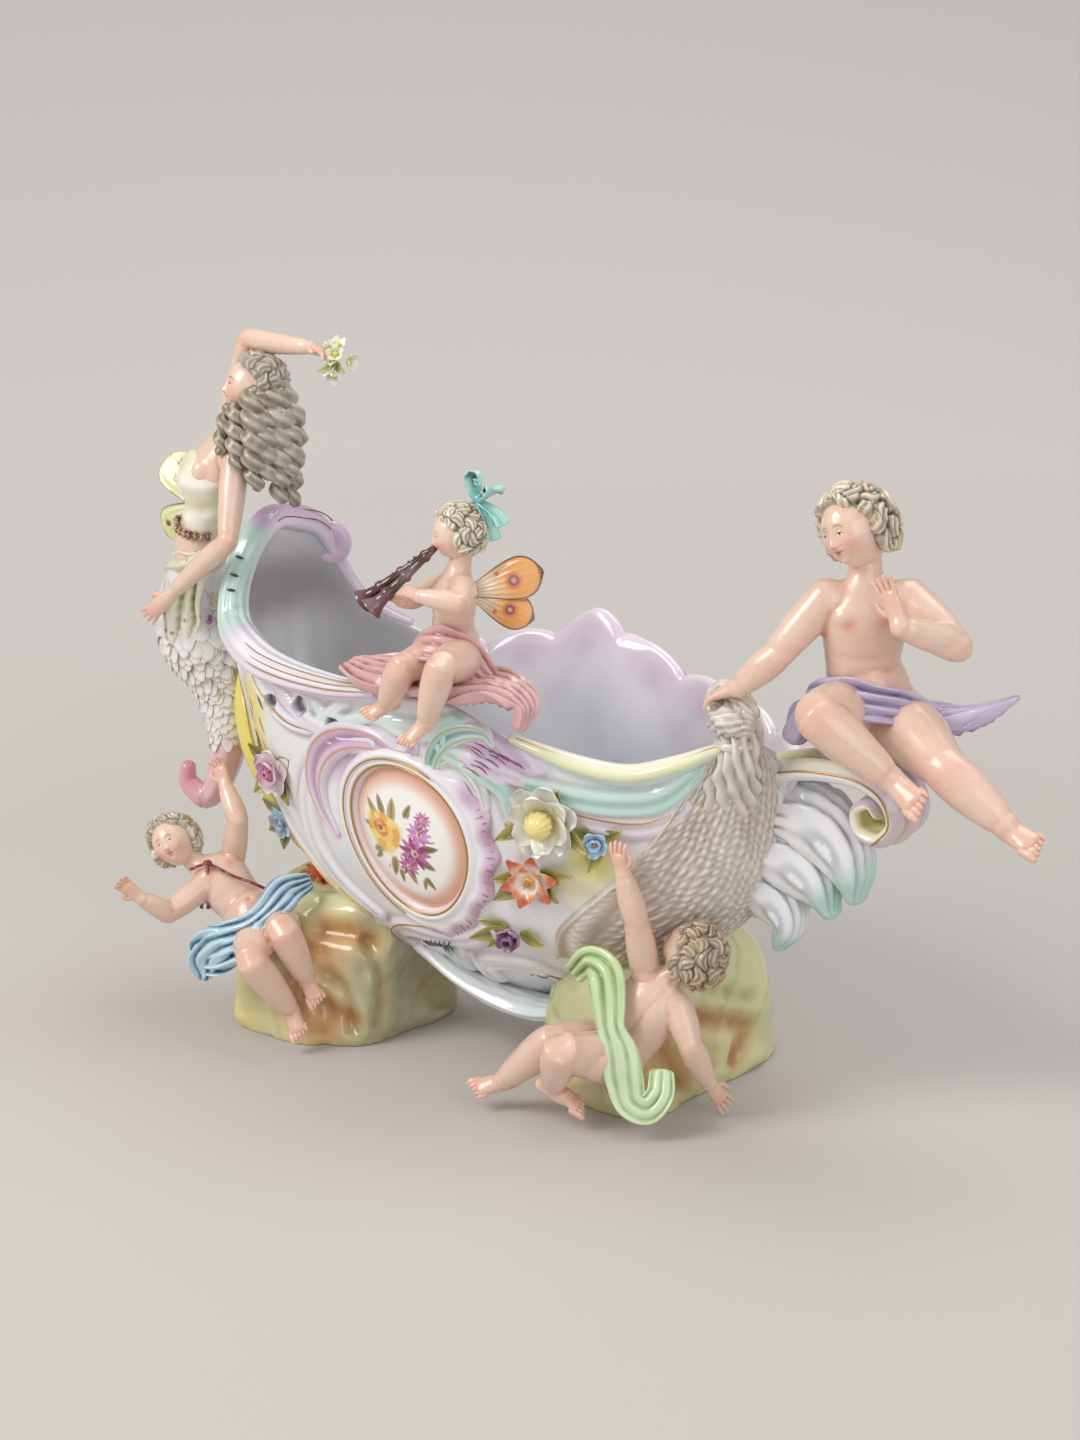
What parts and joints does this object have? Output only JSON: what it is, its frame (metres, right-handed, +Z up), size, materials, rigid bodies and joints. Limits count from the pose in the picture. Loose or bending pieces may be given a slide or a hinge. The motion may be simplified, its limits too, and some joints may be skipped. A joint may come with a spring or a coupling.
{
  "type": "figural bowl",
  "caption": "Boat-shaped rococo porcelain bowl on rock feet, with applied flowers, a painted cartouche, a fairy figurehead, a piper, a boy with a net and reclining putti.",
  "frame": {"origin": "middle of the bounding box on the floor under the two rock feet", "axes": "+X along the bowl from the fairy at the bow to the boy on the stern, -Y towards the painted front, +Z up"},
  "size_m": [0.4595, 0.1758, 0.3124],
  "materials": {
    "white_body": "cool white glazed porcelain, shaded lilac and mint, with gold lines",
    "lilac_trim": "lilac and rose shaded glaze with gold lines",
    "mint_trim": "mint and white shaded glaze with gold lines",
    "yellow_trim": "yellow shaded glaze",
    "plaque": "white glazed reserve with a painted bunch of flowers",
    "rock": "olive and ochre shaded glazed rockwork",
    "net": "grey beige glazed netting",
    "skin": "pale flesh glaze with blushed knees and cheeks",
    "hair": "grey blond glazed curls with brown hollows",
    "rose_cloth": "rose glazed drapery",
    "lilac_cloth": "lilac glazed drapery",
    "blue_cloth": "light blue glazed drapery",
    "green_cloth": "light green glazed drapery",
    "pale_cloth": "pale yellow green glazed drapery and wings",
    "orange_wing": "orange glazed wings with ringed spots",
    "turquoise": "turquoise glazed ribbon",
    "maroon": "dark maroon glazed pipes",
    "pink_petal": "pink glazed petals",
    "blue_petal": "blue glazed petals",
    "red_petal": "orange red glazed petals",
    "white_petal": "white glazed petals round a yellow cup",
    "purple_petal": "purple glazed petals"
  },
  "bodies": {
    "root": {"blue_bell": "blue_petal", "bow_leaf": "yellow_trim", "bowl_shell": "white_body", "cartouche_frame": "lilac_trim", "cartouche_plaque": "plaque", "climber_drape": "green_cloth", "climber_head": "hair", "climber_left_arm": "skin", "climber_left_leg": "skin", "climber_right_arm": "skin", "climber_right_leg": "skin", "climber_torso": "skin", "daffodil": "white_petal", "fairy_head": "hair", "fairy_lowered_arm": "skin", "fairy_posy": "white_petal", "fairy_raised_arm": "skin", "fairy_sash": "pale_cloth", "fairy_tail": "white_body", "fairy_torso": "skin", "fairy_wings": "pale_cloth", "fish_net": "net", "forget_me_nots": "blue_petal", "front_scroll": "lilac_trim", "keel_apron": "white_body", "lobe_rim": "mint_trim", "mouth_rim": "lilac_trim", "net_boy_drape": "lilac_cloth", "net_boy_head": "hair", "net_boy_left_arm": "skin", "net_boy_left_leg": "skin", "net_boy_right_arm": "skin", "net_boy_right_leg": "skin", "net_boy_torso": "skin", "piper_bow": "turquoise", "piper_drape": "rose_cloth", "piper_head": "hair", "piper_left_arm": "skin", "piper_left_leg": "skin", "piper_pipes": "maroon", "piper_right_arm": "skin", "piper_right_leg": "skin", "piper_torso": "skin", "piper_wings": "orange_wing", "purple_bud": "purple_petal", "red_flower": "red_petal", "rester_drape": "blue_cloth", "rester_head": "hair", "rester_left_arm": "skin", "rester_left_leg": "skin", "rester_right_arm": "skin", "rester_right_leg": "skin", "rester_torso": "skin", "rock_left": "rock", "rock_right": "rock", "rose": "pink_petal", "side_scroll": "lilac_trim", "star_flower": "red_petal", "stern_fin": "mint_trim", "stern_scroll": "yellow_trim"}
  },
  "joints": []
}
